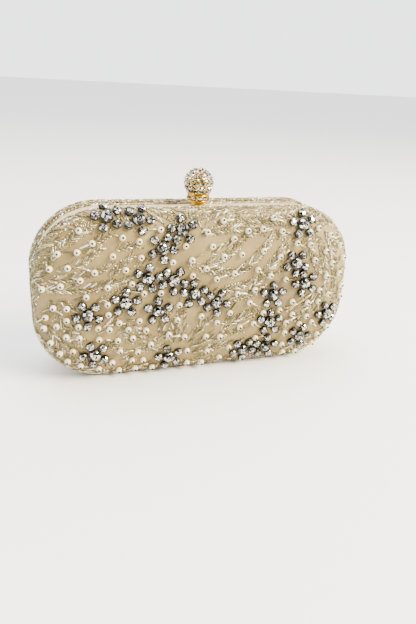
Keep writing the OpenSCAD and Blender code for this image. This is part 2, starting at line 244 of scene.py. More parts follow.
def rolled(corners, radius, steps=3):
    """A closed profile with its corners rounded."""
    result = []
    for i, corner in enumerate(corners):
        here = Vector(corner)
        before = Vector(corners[i - 1]) - here
        after = Vector(corners[(i + 1) % len(corners)]) - here
        start = here + before.normalized() * min(radius, before.length * 0.45)
        end = here + after.normalized() * min(radius, after.length * 0.45)
        for step in range(steps + 1):
            t = step / steps
            result.append(start.lerp(here, t).lerp(here.lerp(end, t), t))
    return result


def even_shading(piece):
    """Lets the large faces keep their own shading next to small rounded edges."""
    piece.modifiers.new("even_shading", "WEIGHTED_NORMAL").keep_sharp = True


def cut_out(piece, boxes):
    """Cuts boxes, each from a low to a high corner, out of a piece."""
    for low, high in boxes:
        low, high = Vector(low), Vector(high)
        bpy.ops.mesh.primitive_cube_add(size=1, location=(low + high) / 2)
        cutter = bpy.context.object
        cutter.scale = high - low
        set_values(piece.modifiers.new("cut", "BOOLEAN"), operation="DIFFERENCE",
                   solver="EXACT", object=cutter)
        bpy.context.view_layer.update()
        graph = bpy.context.evaluated_depsgraph_get()
        mesh = bpy.data.meshes.new_from_object(piece.evaluated_get(graph))
        piece.modifiers.clear()
        piece.data = mesh
        bpy.data.objects.remove(cutter)


def fix_to(piece, body, slot, *nodes):
    """Fixes a piece to its body and hides the CAD nodes it stands for; slot is not used."""
    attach(piece, body)
    if nodes:
        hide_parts(*nodes)


def box_into(side, reach, across, heights):
    """A box from the parting plane into one half, between two x and two z limits."""
    return ((across[0], min(0, side * reach), heights[0]),
            (across[1], max(0, side * reach), heights[1]))


def noise_of(tree, grain, detail=2.0, **sockets):
    """Noise with a grain of a real size, fixed to the piece."""
    place = add_node(tree, "ShaderNodeTexCoord")
    return add_node(tree, "ShaderNodeTexNoise", {
        "Vector": place.outputs["Object"], "Scale": 1 / grain, "Detail": detail,
        **sockets}).outputs["Fac"]


def between(tree, value, low, high):
    """A value from 0 to 1 spread between two others."""
    return add_node(tree, "ShaderNodeMapRange", {
        "Value": value, "To Min": low, "To Max": high}).outputs["Result"]


def relief(tree, height, strength, depth):
    """Fine relief that no mesh could hold."""
    return add_node(tree, "ShaderNodeBump", {
        "Height": height, "Strength": strength, "Distance": depth}).outputs["Normal"]


# Gold-plated steel, satin polished: pale, with long soft highlights and a faint grain
gold_steel, tree, shader = new_material("gold_plated_steel_satin")
POLISH_GRAIN = 0.5 * MM
cloud = noise_of(tree, 14 * MM)
set_sockets(tree, shader, {
    "Base Color": on_ramp(tree, cloud, [(0.3, "#E4CD9A"), (0.7, "#EFDCB2")]),
    "Metallic": 1.0, "Roughness": between(tree, cloud, 0.36, 0.5),
    "Normal": relief(tree, noise_of(tree, POLISH_GRAIN, 3.0), 0.12, 0.02 * MM)})

hinge_boxes = [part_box(f"hinge_leaf_front_{hand}") for hand in ("left", "right")]
STEM_NOTCH = (-3.4 * MM, 3.4 * MM)
NOTCH_DEPTH = {"front": 2.2 * MM, "back": 3.4 * MM}
NOTCH_FOOT = frame_high.z - 7 * MM
HINGE_ROOM = 0.35 * MM
LEAF_DEPTH = 1.5 * MM
band_end = -frame_low.y
band_start = -frame_high.y

for half, side in SIDES.items():
    profile = rolled([
        (-CHANNEL_T, band_start), (0, band_start), (0, band_end), (-BAND_T, band_end),
        (-BAND_T, band_start + BAND_T), (BAND_T - CHANNEL_T, band_start + BAND_T),
        (BAND_T - CHANNEL_T, band_end), (-CHANNEL_T, band_end)], BAND_ROLL)
    around = outline(20, 12)
    rings = [ring(around, grow, depth, side) for grow, depth in profile]
    band = new_piece(f"{half}_frame_band", sum(rings, []),
                     band_faces(len(rings), len(around), closed=True), gold_steel)
    notches = [box_into(side, NOTCH_DEPTH[half], STEM_NOTCH,
                        (NOTCH_FOOT, frame_high.z + 1 * MM))]
    for low, high in hinge_boxes:
        notches.append(box_into(side, LEAF_DEPTH, (low[0] - HINGE_ROOM, high[0] + HINGE_ROOM),
                                (-1 * MM, high[2] + HINGE_ROOM)))
    cut_out(band, notches)
    even_shading(band)
    fix_to(band, f"{half}_half", "frame_metal", f"{half}_frame")


# ---- Shell and padding ----
# The shell is moulded ABS about 1.6 mm thick, with a thin sheet of foam glued over it. Both
# keep their CAD shape, because the fabric and the lining hide them.

# Moulded ABS: ivory, with a fine even texture
abs_plastic, tree, shader = new_material("abs_moulded_ivory")
set_sockets(tree, shader, {
    "Base Color": hex_colour("#E4DECF"), "Roughness": 0.5, "IOR": 1.53,
    "Normal": relief(tree, noise_of(tree, 0.6 * MM), 0.2, 0.03 * MM)})

# Polyurethane foam: white, matt, with open cells of about 0.7 mm
foam, tree, shader = new_material("polyurethane_foam_cut")
place = add_node(tree, "ShaderNodeTexCoord")
cells = add_node(tree, "ShaderNodeTexVoronoi", {
    "Vector": place.outputs["Object"], "Scale": 1 / (0.7 * MM)})
set_sockets(tree, shader, {
    "Base Color": hex_colour("#EFEBE0"), "Roughness": 0.95,
    "Normal": relief(tree, cells.outputs["Distance"], 0.5, 0.1 * MM)})


def finish_node(name, material):
    """Gives a CAD node that keeps its shape a better material."""
    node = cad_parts[name]
    node.data.materials.clear()
    node.data.materials.append(material)


for half in SIDES:
    finish_node(f"{half}_shell", abs_plastic)
    finish_node(f"{half}_padding", foam)


# ---- Padded fabric cover ----
# Champagne satin-backed fabric, drawn over the foam and tucked into the frame's channel. It
# puffs out beside the frame, turns over the edge and crowns a little over the middle.

cover_low, cover_high = box_of("front_cover")
FACE_DEPTH = -cover_low.y
BULGE = cover_high.x - HALF_W
TUCK = -BAND_T - 0.05 * MM
LIP_DEPTH = -cover_high.y
MOUTH_DEPTH = band_end + 0.1 * MM
PUFF_DEPTH = 5 * MM
KNEE_DEPTH = MOUTH_DEPTH + PUFF_DEPTH
EDGE_ROUND = 24 * MM
CROWN = 1.3 * MM
CLOTH_T = 0.5 * MM


def outset(x, h):
    """How far a point of the face lies outside the frame's outline; inside is negative."""
    q = Vector((abs(x) - HALF_W + CORNER_R, abs(h) - HALF_H + CORNER_R))
    corner = Vector((max(q.x, 0), max(q.y, 0)))
    away = Vector((math.copysign(corner.x, x), math.copysign(corner.y, h)))
    return corner.length + min(max(q.x, q.y), 0) - CORNER_R, away


def edge_turn(x, h):
    """1 at the cover's widest line, falling to 0 where the edge's rounding ends."""
    return min(1, max(0, (outset(x, h)[0] - BULGE) / EDGE_ROUND + 1))


def skin_depth(x, h):
    """Depth of the cover's outer face, with its crown."""
    turn = edge_turn(x, h)
    crown = CROWN * (1 - turn) ** 2 * (1 - (x / HALF_W) ** 2) * (1 - (h / HALF_H) ** 2)
    return KNEE_DEPTH + (FACE_DEPTH - KNEE_DEPTH) * math.sqrt(1 - turn * turn) + crown


def skin_normal(x, h, side):
    """Outward direction of the cover's face."""
    turn = edge_turn(x, h)
    away = outset(x, h)[1]
    away = away.normalized() if away.length > 0 else away
    out = turn / EDGE_ROUND
    deep = math.sqrt(1 - turn * turn) / (FACE_DEPTH - KNEE_DEPTH)
    return Vector((away.x * out, side * deep, away.y * out)).normalized()


def edge_rows(puff_degrees, face_degrees, inwards=0.0):
    """The section over the puff and the rounded edge, as [outset, depth]."""
    rows = []
    for a in map(math.radians, puff_degrees):
        rows.append((TUCK - inwards + (BULGE - TUCK) * math.sin(a),
                     MOUTH_DEPTH + PUFF_DEPTH * (1 - math.cos(a))))
    for a in map(math.radians, face_degrees):
        rows.append((BULGE - EDGE_ROUND + (EDGE_ROUND - inwards) * math.cos(a),
                     KNEE_DEPTH + (FACE_DEPTH - KNEE_DEPTH - inwards) * math.sin(a)))
    return rows


def cloth_give(point, strength):
    """Small unevenness of fabric drawn over foam."""
    return strength * (noise.noise(point / (9 * MM)) + 0.5 * noise.noise(point / (3.5 * MM)))


WAVE_LENGTH = 0.314    # of a wave texture whose scale is 1


def yarns(tree, pitch, way, distortion, detail=2.0):
    """Yarns lying side by side at a pitch, counted along X or Z."""
    place = add_node(tree, "ShaderNodeTexCoord")
    return add_node(tree, "ShaderNodeTexWave", {
        "Vector": place.outputs["Object"], "Scale": WAVE_LENGTH / pitch,
        "Distortion": distortion, "Detail": detail}, bands_direction=way).outputs["Fac"]


# Champagne satin weave: a soft silky sheen over fine crossing threads, colour a little clouded
champagne, tree, shader = new_material("champagne_satin_woven")
THREAD = 0.55 * MM
cloud = noise_of(tree, 22 * MM, 4.0, Roughness=0.6)
tint = on_ramp(tree, cloud, [(0.3, "#756238"), (0.5, "#8B7746"), (0.72, "#A18D5B")])
warp, weft = (yarns(tree, THREAD, way, 0.6, 1.0) for way in ("X", "Z"))
threads = add_node(tree, "ShaderNodeMath", {0: warp, 1: weft}, operation="MULTIPLY")
cloth_colour = add_node(tree, "ShaderNodeVectorMath", {
    0: tint, 1: between(tree, threads.outputs["Value"], 0.84, 1.08)}, operation="MULTIPLY")
set_sockets(tree, shader, {
    "Base Color": cloth_colour.outputs["Vector"], "Roughness": 0.58, "Sheen Weight": 0.2,
    "Sheen Roughness": 0.4, "Sheen Tint": hex_colour("#FBF3D6"),
    "Normal": relief(tree, threads.outputs["Value"], 0.35, 0.12 * MM)})

# Where the stone flowers are sewn down, each as x, z and its turn from the x axis, in
# millimetres and degrees, set so that neighbours' petals interlock
FLOWERS = [
    (-53, 92, 31), (-37, 90.5, 66), (-14, 85, 24), (-25, 76, 60), (-33, 60, 6), (-19, 58, 54),
    (-7, 49.5, 24), (6.5, 43.5, 60), (-45, 47, 12), (-27, 41, 18), (-65, 41, 48),
    (-62, 17, 42), (-20, 11, 30), (57, 86, 24), (54, 64, 54), (61, 51.5, 36), (41, 45.5, 18),
    (40.5, 28.5, 18), (40, 12, 12), (25.5, 11, 60), (62, 17, 0), (79, 30, 36),
]
SEWN_DOWN = 4 * MM
CLOTH_FRAMES = 12
CLOTH_GIVE = 0.7 * MM


def settle_cloth(piece, held):
    """Lets the fabric swell a little over its foam between the places where it is held."""
    group = piece.vertex_groups.new(name="held")
    group.add(held, 1.0, "REPLACE")
    cloth = piece.modifiers.new("settle", "CLOTH")
    set_values(cloth.settings, quality=4, mass=0.15, tension_stiffness=40,
               compression_stiffness=25, bending_stiffness=2, vertex_group_mass="held",
               use_pressure=True, uniform_pressure_force=4)
    cloth.settings.effector_weights.gravity = 0
    cloth.collision_settings.use_self_collision = False
    set_values(cloth.point_cache, frame_start=1, frame_end=CLOTH_FRAMES)
    scene = bpy.context.scene
    for step in range(1, CLOTH_FRAMES + 1):
        scene.frame_set(step)
    settled = piece.evaluated_get(bpy.context.evaluated_depsgraph_get()).to_mesh()
    places = [vertex.co.copy() for vertex in settled.vertices]
    piece.modifiers.remove(cloth)
    piece.vertex_groups.remove(group)
    scene.frame_set(1)
    for vertex, place in zip(piece.data.vertices, places):
        move = place - vertex.co
        if move.length > CLOTH_GIVE:
            move *= CLOTH_GIVE / move.length
        vertex.co += move
        vertex.co.z = max(vertex.co.z, 0.0)


def thicken(piece, thickness, offset):
    """Gives a cloth its thickness, inwards for offset -1 and both ways for 0."""
    set_values(piece.modifiers.new("cloth", "SOLIDIFY"), thickness=thickness, offset=offset)


HEM_RINGS = 3
COVER_STEPS = 25
cover_tree = {}
for half, side in SIDES.items():
    around = outline(30, 24)
    section = [(TUCK, LIP_DEPTH)] + edge_rows(range(0, 90, 10), range(0, 75, 5))
    rings = [ring(around, grow, depth, side) for grow, depth in section]
    last = rings[-1]
    for scale in [1 - k / COVER_STEPS for k in range(1, COVER_STEPS)]:
        row = []
        for corner in last:
            x, h = corner.x * scale, (corner.z - MID_Z) * scale
            row.append(Vector((x, side * skin_depth(x, h), MID_Z + h)))
        rings.append(row)
    corners = sum(rings, [])
    for i in range(HEM_RINGS * len(around), len(corners)):
        x, h = corners[i].x, corners[i].z - MID_Z
        corners[i] = corners[i] + skin_normal(x, h, side) * cloth_give(corners[i], 0.12 * MM)
        corners[i].z = max(corners[i].z, 0.0)
    faces = band_faces(len(rings), len(around), closed=False)
    middle = len(corners)
    corners.append(Vector((0, side * skin_depth(0, 0), MID_Z)))
    inner = (len(rings) - 1) * len(around)
    faces += [(inner + i, inner + (i + 1) % len(around), middle) for i in range(len(around))]
    cover = new_piece(f"{half}_fabric_cover", corners, faces, champagne)
    if cover.data.polygons[-1].normal.y * side < 0:
        cover.data.flip_normals()
    held = list(range(HEM_RINGS * len(around)))
    held += [i for i, p in enumerate(corners) if half == "front" and any(
        math.hypot(p.x - x * MM, p.z - z * MM) < SEWN_DOWN for x, z, _ in FLOWERS)]
    settle_cloth(cover, held)
    corners = [vertex.co.copy() for vertex in cover.data.vertices]
    cover_tree[half] = BVHTree.FromPolygons(corners, faces)
    cut_out(cover, [box_into(side, NOTCH_DEPTH[half], STEM_NOTCH, (NOTCH_FOOT, frame_high.z))])
    thicken(cover, CLOTH_T, -1)
    fix_to(cover, f"{half}_half", "beaded_fabric", f"{half}_cover")


# ---- Satin lining and pocket ----
# Each half is lined with satin glued on card, its edge tucked behind the frame. The back one
# has a flat satin pocket sewn on by three sides.

# Polyester satin: smooth, with a directed gloss and faint slack folds
satin, tree, shader = new_material("polyester_satin_woven")
tint = on_ramp(tree, noise_of(tree, 12 * MM, 3.0), [(0.3, "#8C6A38"), (0.7, "#AC8B54")])
set_sockets(tree, shader, {
    "Base Color": tint, "Roughness": 0.34, "Sheen Weight": 0.3,
    "Normal": relief(tree, yarns(tree, 0.5 * MM, "X", 1.0), 0.2, 0.05 * MM)})

LINING_IN = FACE_DEPTH + box_of("front_lining")[0].y
LATCH_OPENING = (-13 * MM, 13 * MM)
LATCH_DEPTH = 11.5 * MM
LATCH_DROP = 10 * MM
FOLD_DEPTH = 0.5 * MM

for half, side in SIDES.items():
    around = outline(24, 16)
    section = [(TUCK - LINING_IN, LIP_DEPTH)]
    section += edge_rows(range(0, 90, 18), range(0, 91, 9), LINING_IN)
    rings = [ring(around, grow, depth, side) for grow, depth in section]
    face = rings[-1]
    for scale in (0.8, 0.6, 0.4, 0.2):
        rings.append([Vector((p.x * scale, p.y, MID_Z + (p.z - MID_Z) * scale)) for p in face])
    corners = sum(rings, [])
    for i in range(2 * len(around), len(corners)):
        fold = abs(noise.noise(corners[i] / (11 * MM))) * FOLD_DEPTH
        corners[i].y -= side * fold
    faces = band_faces(len(rings), len(around), closed=False)
    faces.append(tuple(range((len(rings) - 1) * len(around), len(corners))))
    lining = new_piece(f"{half}_satin_lining", corners, faces, satin)
    cut_out(lining, [box_into(side, LATCH_DEPTH, LATCH_OPENING,
                              (frame_high.z - LATCH_DROP, frame_high.z))])
    thicken(lining, 0.3 * MM, 0)
    fix_to(lining, f"{half}_half", "lining_satin", f"{half}_lining")

pocket_low, pocket_high = box_of("inner_pocket")
POCKET_SLACK = 0.8 * MM
POCKET_SWELL = 1.1 * MM
columns, rows = 48, 24
corners = []
for r in range(rows + 1):
    for c in range(columns + 1):
        u, v = c / columns, r / rows
        x = pocket_low.x + u * (pocket_high.x - pocket_low.x)
        z = pocket_low.z + v * (pocket_high.z - pocket_low.z)
        open_part = math.sin(math.pi * u) ** 0.5 * min(1, 1.6 * v)
        y = pocket_high.y - 0.4 * MM - open_part * POCKET_SWELL
        y -= POCKET_SLACK * open_part * noise.noise(Vector((x, 0, z)) / (10 * MM)) ** 2
        corners.append(Vector((x, y, z)))
faces = []
for r in range(rows):
    for c in range(columns):
        i = r * (columns + 1) + c
        faces.append((i, i + 1, i + columns + 2, i + columns + 1))
pocket = new_piece("satin_pocket", corners, faces, satin)
thicken(pocket, 0.35 * MM, 0)
fix_to(pocket, "back_half", "lining_satin", "inner_pocket")


# ---- Flowers of clear stones ----
# Each flower is six round faceted stones, five petals and a larger eye, in dark plated cups
# whose claws are bent over the stones. The cups are sewn on through the fabric.

PETALS = 5
PETAL_RING = 6.2 * MM
PETAL_R = 2.25 * MM
EYE_R = 3.2 * MM
CUP_H = 2.1 * MM


def seat(half, point, out):
    """Where a line down the outward direction meets the cover, and the direction there."""
    hit, normal, _, _ = cover_tree[half].ray_cast(point + out * 8 * MM, -out)
    if hit is None:
        return None
    return hit, normal if normal.dot(out) > 0 else -normal


def on_face(half, x, z):
    """Seat on the face at x and z, both in metres; x is mirrored on the back."""
    side = SIDES[half]
    x = x if half == "front" else -x
    h = z - MID_Z
    if outset(x, h)[0] > BULGE - 0.2 * MM:
        return None
    return seat(half, Vector((x, side * skin_depth(x, h), z)), skin_normal(x, h, side))


def stand(point, along, up):
    """Matrix of a thing that stands at a point, its x along the cloth and its z outwards."""
    along = (along - up * along.dot(up)).normalized()
    matrix = Matrix((along, up.cross(along), up)).transposed().to_4x4()
    matrix.translation = point
    return matrix


def circle(radius, z, count, turn=0.0):
    """Points round the z axis, turned by a share of the step between them."""
    return [Vector((radius * math.cos(2 * math.pi * (i + turn) / count),
                    radius * math.sin(2 * math.pi * (i + turn) / count), z))
            for i in range(count)]


def faceted_stone(radius, height, sides=8):
    """A round stone on z = 0; its table shows the deep facets of the stone's back as well."""
    corners = circle(0.56 * radius, height, sides)
    corners += circle(0.84 * radius, 0.72 * height, sides, 0.5)
    corners += circle(radius, 0.35 * height, 2 * sides) + circle(0.8 * radius, 0, 2 * sides)
    corners += circle(0.3 * radius, 0.97 * height, sides, 0.5) + [Vector((0, 0, height))]
    mid, rim, foot, deep = sides, 2 * sides, 4 * sides, 6 * sides
    faces = [tuple(range(deep - 1, foot - 1, -1))]
    for i in range(sides):
        after, before = (i + 1) % sides, (i - 1) % sides
        rim_0, rim_1 = rim + 2 * i, rim + 2 * i + 1
        rim_2 = rim + (2 * i + 2) % (2 * sides)
        faces.append((i, after, deep + i))
        faces.append((i, deep + i, deep + before))
        faces.append((deep + before, deep + i, deep + sides))
        faces.append((i, mid + i, after))
        faces.append((i, mid + before, rim_0, mid + i))
        faces.append((mid + i, rim_0, rim_1))
        faces.append((mid + i, rim_1, rim_2))
    for i in range(2 * sides):
        after = (i + 1) % (2 * sides)
        faces.append((rim + i, foot + i, foot + after, rim + after))
    return corners, faces


def lathe(profile, steps):
    """A shape turned about z from [radius, z] points, with its two ends closed."""
    corners = sum((circle(radius, z, steps) for radius, z in profile), [])
    faces = band_faces(len(profile), steps, closed=False)
    faces.append(tuple(range(steps)))
    faces.append(tuple(range((len(profile) - 1) * steps, len(profile) * steps)))
    return corners, faces


def joined(*shapes):
    """One shape made of several."""
    corners, faces = [], []
    for shape_corners, shape_faces in shapes:
        start = len(corners)
        corners += shape_corners
        faces += [tuple(start + i for i in face) for face in shape_faces]
    return corners, faces


def moved(shape, matrix):
    """A shape set at a matrix."""
    return [matrix @ corner for corner in shape[0]], shape[1]


def claw_cup(radius, height, claws):
    """A cup with claws bent over its stone's girdle, standing on z = 0."""
    cup = lathe([(0.7 * radius, 0), (1.05 * radius, 0.2 * height), (1.13 * radius, height),
                 (0.98 * radius, height)], 12)
    claw = lathe([(0.1 * MM, 0), (0.34 * MM, 0.15 * MM), (0.3 * MM, 0.8 * MM),
                  (0.08 * MM, 1.0 * MM)], 6)
    shapes = [cup]
    for i in range(claws):
        turn = Matrix.Rotation(2 * math.pi * i / claws, 4, "Z")
        lean = Matrix.Rotation(math.radians(-24), 4, "Y")
        at = Matrix.Translation((1.08 * radius, 0, height - 0.35 * MM))
        shapes.append(moved(claw, turn @ at @ lean))
    return joined(*shapes)


def spread(name, placed, material, smooth=True, seed=0, by_facet=False):
    """One mesh of many placed shapes, with a random tone for each shape or each facet, which the
    glass materials turn into painted reflections and highlights.
    """
    shape = joined(*[moved(shape, matrix) for shape, matrix in placed])
    piece = new_piece(name, *shape, material, smooth)
    draw = random.Random(seed)
    tones_with_painted_glints = []
    for placed_shape, _ in placed:
        own = draw.random()
        tones_with_painted_glints += [draw.random() if by_facet else own for _ in placed_shape[1]]
    tone_with_painted_glints = piece.data.attributes.new("tone_and_painted_glint", "FLOAT", "FACE")
    tone_with_painted_glints.data.foreach_set("value", tones_with_painted_glints)
    return piece


def painted_glint_tones(tree, stops):
    """The colour of each shape or facet from its own random tone: a painted reflection or
    highlight, from dark to white.
    """
    own = add_node(tree, "ShaderNodeAttribute", attribute_name="tone_and_painted_glint")
    return on_ramp(tree, own.outputs["Fac"], stops)


# Foil-backed cut glass: each facet gets a painted reflection, black beside white at random, for
# the part of the room it would mirror
cut_glass, tree, shader = new_material("cut_glass_foil_backed_painted_glints")
tone_with_painted_glints = painted_glint_tones(tree, [(0.0, "#080807"), (0.36, "#1B1A17"), (0.6, "#615F57"),
                          (0.78, "#DEDCD2"), (1.0, "#FFFFFF")])
set_sockets(tree, shader, {
    "Base Color": tone_with_painted_glints, "Metallic": 0.75, "Roughness": 0.08, "IOR": 1.62})

# Gunmetal plating on brass, tumbled: dark, half bright, with paler clouds of about a millimetre
gunmetal, tree, shader = new_material("gunmetal_plated_brass_tumbled")
tint = on_ramp(tree, noise_of(tree, 0.9 * MM), [(0.35, "#1E1C19"), (0.7, "#55514A")])
set_sockets(tree, shader, {"Base Color": tint, "Metallic": 1.0, "Roughness": 0.3})

cups, stones, stone_spots = [], [], []
petal_cup = claw_cup(PETAL_R, CUP_H, 4)
eye_cup = claw_cup(EYE_R, CUP_H, 6)
petal_stone = faceted_stone(PETAL_R, 1.5 * MM)
eye_stone = faceted_stone(EYE_R, 2.1 * MM)
flower_draw = random.Random(11)
for x, z, turn in FLOWERS:
    point, up = on_face("front", x * MM, z * MM)
    up = (up * 0.5 + skin_normal(x * MM, z * MM - MID_Z, -1) * 0.5).normalized()
    base = stand(point - up * 0.2 * MM, Vector((1, 0, 0)), up)
    base = base @ Matrix.Rotation(math.radians(turn), 4, "Z")
    lift = Matrix.Translation((0, 0, CUP_H - 0.55 * MM))
    spin = Matrix.Rotation(flower_draw.random(), 4, "Z")
    cups.append((eye_cup, base))
    stones.append((eye_stone, base @ lift @ spin))
    stone_spots.append((base.translation, EYE_R))
    for k in range(PETALS):
        around = Matrix.Rotation(2 * math.pi * k / PETALS, 4, "Z")
        at = base @ around @ Matrix.Translation((PETAL_RING, 0, 0))
        found = seat("front", at.translation, up)
        if found is not None:
            lean = (up + found[1]).normalized()
            at = stand(found[0] - lean * 0.2 * MM, at.col[0].to_3d(), lean)
        tip = Matrix.Rotation(math.radians(flower_draw.uniform(-11, 11)), 4, "X")
        cups.append((petal_cup, at @ tip))
        stones.append((petal_stone, at @ tip @ lift @ Matrix.Rotation(k, 4, "Z")))
        stone_spots.append((at.translation, PETAL_R))
flower_cups = spread("flower_claw_cups", cups, gunmetal)
fix_to(flower_cups, "front_half", "setting_metal", "flower_settings")
flower_stones = spread("flower_cut_stones", stones, cut_glass, smooth=False, seed=5,
                       by_facet=True)
fix_to(flower_stones, "front_half", "clear_stone", "flower_stones")

near_stone = kdtree.KDTree(len(stone_spots))
for index, (spot, radius) in enumerate(stone_spots):
    near_stone.insert(spot, index)
near_stone.balance()


def clear_of_stones(half, point, margin):
    """Whether a place on the cover is free of the flowers."""
    if half == "back":
        return True
    for _, index, distance in near_stone.find_n(point, 2):
        if distance < stone_spots[index][1] + margin:
            return False
    return True


# ---- Pearls ----
# Imitation pearls of about 3.5 mm, each sewn on through its hole with a small seed bead as a
# stop on top. Most have a glass bugle bead sewn down beside them like a stalk.

PEARL_R = 1.7 * MM
PEARL_GAP = 8.0 * MM
PEARL_EDGE = 0.78
PEARL_TRIES = 5200
PEARL_SINK = 0.15 * MM
LOW_END_GAP = 0.75     # of PEARL_GAP, near the two lower ends
STALK_SHARE = 0.75
ALONG_X = Vector((1, 0, 0))


def ball_shape(radius, steps, rows):
    """A ball as a lathe shape, its middle on z = 0."""
    return lathe([(radius * math.sin(math.pi * (i + 0.15) / (rows - 0.7)),
                   -radius * math.cos(math.pi * (i + 0.15) / (rows - 0.7)))
                  for i in range(rows)], steps)


def bead(radius, length, steps=6):
    """A glass tube bead with rounded ends, lying along x, its middle at the origin."""
    upright = lathe([(0.5 * radius, -0.5 * length), (radius, -0.5 * length + 0.5 * radius),
                     (radius, 0.5 * length - 0.5 * radius), (0.5 * radius, 0.5 * length)],
                    steps)
    return moved(upright, Matrix.Rotation(math.radians(90), 4, "Y"))


# Imitation pearl: lacquer with a deep, soft lustre and a faint warm body colour
pearl_lacquer, tree, shader = new_material("pearl_lacquer_on_glass")
tint = on_ramp(tree, noise_of(tree, 5 * MM, 1.0), [(0.35, "#DBCEA9"), (0.65, "#EFE7CE")])
set_sockets(tree, shader, {
    "Base Color": tint, "Roughness": 0.28, "Coat Weight": 0.7,
    "Coat Roughness": 0.08, "Subsurface Weight": 0.12, "Subsurface Radius": (1, 0.8, 0.6),
    "Subsurface Scale": 0.6 * MM})

# Silver-lined glass: clear champagne glass over a bright lining. Each bead gets a tone at
# random: the mid tones are the glass, the dark olive end is painted shade between the beads and
# the near-white end is a painted highlight
lined_glass, tree, shader = new_material("silver_lined_glass_painted_lights")
tone_with_painted_glints = painted_glint_tones(tree, [(0.0, "#54492A"), (0.4, "#847649"), (0.75, "#AEA179"),
                          (0.92, "#E2DAC0"), (1.0, "#FFFDF6")])
set_sockets(tree, shader, {
    "Base Color": tone_with_painted_glints, "Metallic": 0.5, "Roughness": 0.14, "IOR": 1.52,
    "Coat Weight": 0.5, "Coat Roughness": 0.05})

# Seed bead stops on the pearls, coloured dark grey as a painted reflection: the dark dot that
# the darker room at the tent's opening leaves mirrored in each pearl
stop_glass_painted_dark_reflection, tree, shader = new_material("stop_bead_glass_painted_dark_reflection")
set_sockets(tree, shader, {"Base Color": hex_colour("#3F3A30"), "Metallic": 0.6,
                           "Roughness": 0.2, "IOR": 1.52})

pearl_shape = ball_shape(PEARL_R, 16, 11)
stop_shape = ball_shape(0.72 * MM, 8, 6)
stalk_shape = bead(0.5 * MM, 5.2 * MM)
pearl_spots = {}
stalks = {"front": [], "back": []}
for half in SIDES:
    draw = random.Random(21 if half == "front" else 22)
    spots, pearls, stops = [], [], []
    for attempt in range(PEARL_TRIES):
        x = draw.uniform(-HALF_W, HALF_W)
        h = draw.uniform(-HALF_H, HALF_H)
        found = on_face(half, x, MID_Z + h)
        if found is None:
            continue
        point, up = found
        if edge_turn(x, h) > PEARL_EDGE:
            continue
        gap = PEARL_GAP * (LOW_END_GAP if abs(x) > 0.35 * HALF_W and h < 0 else 1)
        if point.z < PEARL_R + 1 * MM or not clear_of_stones(half, point, PEARL_R + 0.6 * MM):
            continue
        if any((point - other).length < gap for other in spots):
            continue
        spots.append(point)
        pearls.append((pearl_shape, stand(point + up * (PEARL_R - PEARL_SINK), ALONG_X, up)))
        stops.append((stop_shape, stand(point + up * (2 * PEARL_R - PEARL_SINK), ALONG_X, up)))
        way = math.radians(draw.gauss(0, 28)) + (math.pi if x < -0.1 * HALF_W else 0)
        along = Vector((math.cos(way), 0, math.sin(way)))
        along = (along - up * along.dot(up)).normalized()
        reach = PEARL_R + 2.5 * MM
        root = seat(half, point + along * reach, up)
        if draw.random() < STALK_SHARE and root and clear_of_stones(half, root[0], 1 * MM):
            stalks[half].append((stalk_shape,
                                 stand(root[0] + root[1] * 0.4 * MM, along, root[1])))
    pearl_spots[half] = spots
    sewn = spread(f"{half}_sewn_pearls", pearls, pearl_lacquer)
    fix_to(sewn, f"{half}_half", "pearl", f"{half}_pearls")
    stop = spread(f"{half}_pearl_stop_beads", stops, stop_glass_painted_dark_reflection)
    fix_to(stop, f"{half}_half", "clear_stone")


# ---- Bead embroidery ----
# Fern-like sprays of glass beads, worked by hand through the fabric: each barb is a short
# bugle bead with a seed bead at its tip, slanting off a curved line that is left bare.

BARB_STEP = 1.9        # this and the lengths of beads and sprays are in millimetres
BARB_SLANT = math.radians(29)
BARB_START = 0.3
BUGLE_LENGTHS = (2.4, 3.2, 4.0, 4.8)
BUGLE_R = 0.34 * MM
SEED_R = 0.46 * MM
BUGLES = [bead(BUGLE_R, length * MM) for length in BUGLE_LENGTHS]
SEED = bead(SEED_R, 0.8 * MM)
BRAIDS_ACROSS = (1.1, 4.2)
BRAID_PARTS = 12
RIM_SPRAY_STEP = 6.5
RIM_SPRAY_START = 6.0
RIM_SPRAY_END = (12, 17)
BEAD_ROOM = 0.9 * MM
CLASP_ROOM = Vector((8, 9, 2)) * MM

